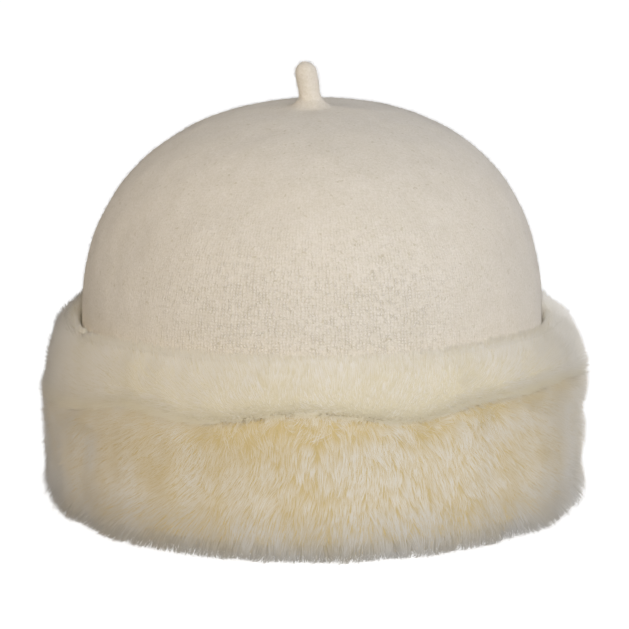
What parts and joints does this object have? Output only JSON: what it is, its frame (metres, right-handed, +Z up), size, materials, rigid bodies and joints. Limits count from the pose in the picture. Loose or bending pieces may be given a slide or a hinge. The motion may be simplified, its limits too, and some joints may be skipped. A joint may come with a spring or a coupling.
{
  "type": "fur-cuffed felted beanie",
  "caption": "Round felted knit hat with a short stem on top and a deep turned-up cuff of two rows of fur, open below for the head.",
  "frame": {"origin": "on the floor, in the middle of the hat's outline", "axes": "+Z up out of the crown, -Y the front, +X the right side of the picture"},
  "size_m": [0.2092, 0.232, 0.168],
  "materials": {
    "felted_wool": "cream felted wool knit",
    "upper_fur": "cream plush fur, nap upwards",
    "lower_fur": "yellowish cream fur, nap downwards"
  },
  "bodies": {
    "root": {"crown": "felted_wool", "stem": "felted_wool", "upper_fur_strip": "upper_fur", "lower_fur_strip": "lower_fur"}
  },
  "joints": []
}
